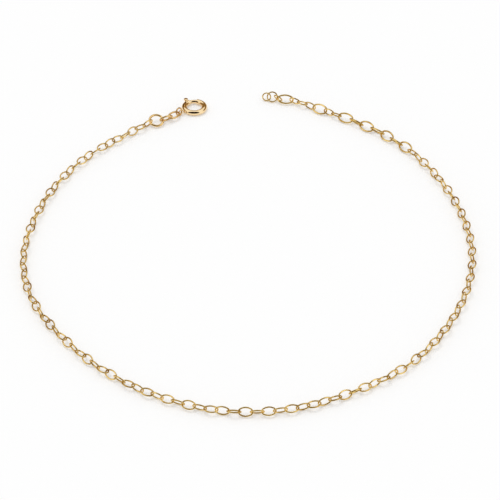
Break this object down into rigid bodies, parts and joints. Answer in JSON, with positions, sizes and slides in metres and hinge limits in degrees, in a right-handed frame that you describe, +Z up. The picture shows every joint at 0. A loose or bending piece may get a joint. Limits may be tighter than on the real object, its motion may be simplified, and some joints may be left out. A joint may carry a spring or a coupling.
{
  "type": "chain anklet",
  "caption": "Fine cable-chain anklet in gold wire, with a spring ring clasp and a longer-linked extender chain, lying open on a table.",
  "frame": {"origin": "middle of the bounding box, on the table that the anklet lies on", "axes": "+Z up from the table; +Y from the closed front of the loop to its open ends; +X to the right, with the clasp at the left end and the extender at the right end"},
  "size_m": [0.0814, 0.0942, 0.0018],
  "materials": {
    "chain_gold": "polished gold-filled wire",
    "clasp_gold": "polished gold-filled tube and stampings"
  },
  "bodies": {
    "anklet": {"chain_left": "chain_gold", "chain_right": "chain_gold", "extender_link_01": "chain_gold", "extender_link_02": "chain_gold", "extender_link_03": "chain_gold", "extender_link_04": "chain_gold", "extender_link_05": "chain_gold", "extender_link_06": "chain_gold", "extender_link_07": "chain_gold", "extender_link_08": "chain_gold", "extender_link_09": "chain_gold", "extender_link_10": "chain_gold", "extender_link_11": "chain_gold", "extender_link_12": "chain_gold", "extender_link_13": "chain_gold", "extender_link_14": "chain_gold", "extender_link_15": "chain_gold", "extender_link_16": "chain_gold", "extender_link_17": "chain_gold", "extender_link_18": "chain_gold", "connector_ring": "chain_gold", "clasp_link_1": "chain_gold", "clasp_link_2": "chain_gold", "jump_ring": "chain_gold", "clasp_body": "clasp_gold"},
    "trigger": {"clasp_trigger": "clasp_gold"}
  },
  "joints": [
    {"name": "clasp_trigger_slide", "type": "hinge", "parent": "anklet", "child": "trigger", "pos_m": [-0.01054, 0.04314, 0.00052], "axis": [0, 0, 1], "range_deg": [0, 45], "stiffness_Nm_per_rad": 0.0015, "springref_deg": -20.05}
  ]
}
